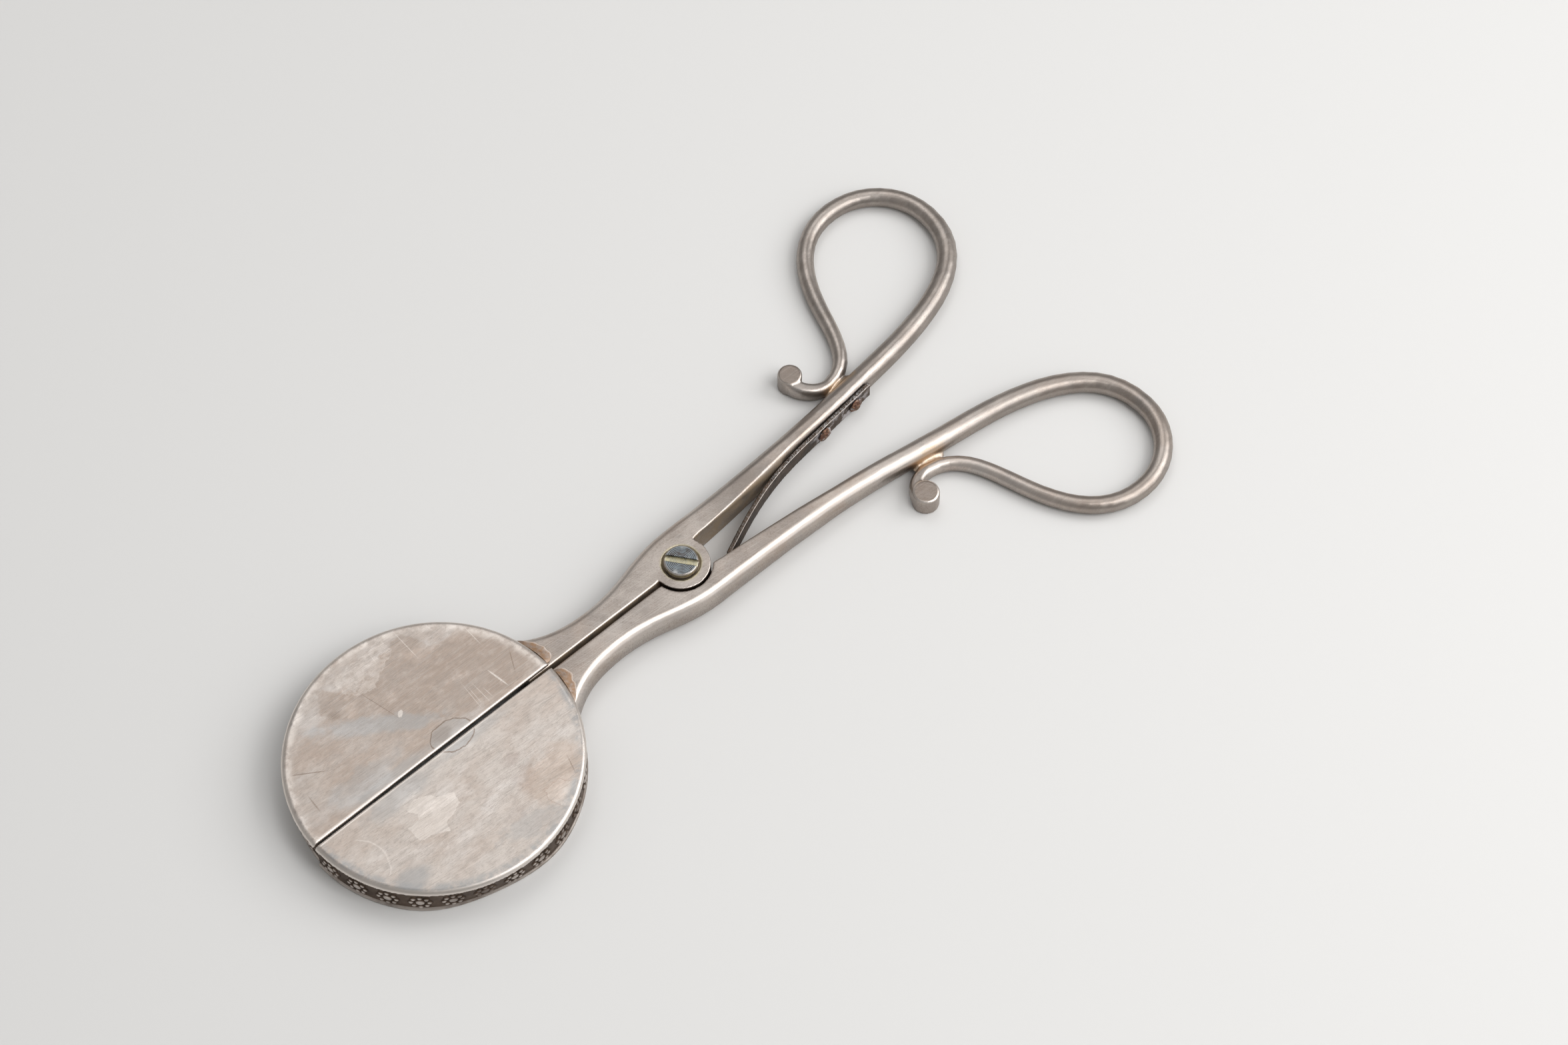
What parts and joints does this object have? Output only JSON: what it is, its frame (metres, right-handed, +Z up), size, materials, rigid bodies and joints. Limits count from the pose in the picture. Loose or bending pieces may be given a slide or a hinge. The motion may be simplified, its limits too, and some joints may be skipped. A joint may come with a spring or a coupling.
{
  "type": "candle snuffer scissors",
  "caption": "Aged silver scissors-form candle snuffer: split round cap, arms on a slotted pivot screw, teardrop finger bows with scrolls and a leaf spring",
  "frame": {"origin": "on the pivot axis, at the flat end of the screw on the underside", "axes": "+X runs beside the slit from the pivot to the finger bows, +Y to the left arm, +Z up out of the covers"},
  "size_m": [0.1643, 0.0821, 0.007],
  "materials": {
    "silver": "satin aged silver with warm and blue-grey tarnish",
    "worn_silver": "scratched and stained silver plate",
    "tarnished_silver": "dark brown tarnish with bright stamped relief",
    "screw_steel": "turned blue-grey steel",
    "spring_steel": "brown-black worn spring steel",
    "rivet_copper": "rusty copper brown with grey residue"
  },
  "bodies": {
    "left_half": {"left_arm": "silver", "left_cover": "worn_silver", "left_wall": "tarnished_silver", "leaf_spring": "spring_steel", "front_spring_rivet": "rivet_copper", "rear_spring_rivet": "rivet_copper"},
    "right_half": {"right_arm": "silver", "right_cover": "worn_silver", "right_wall": "tarnished_silver", "pivot_screw": "screw_steel"}
  },
  "joints": [
    {"name": "pivot", "type": "hinge", "parent": "left_half", "child": "right_half", "pos_m": [0, 0, 0], "axis": [0, 0, 1], "range_deg": [0, 12], "stiffness_Nm_per_rad": 0.3, "springref_deg": -20.05, "deforming": ["leaf_spring"]}
  ]
}
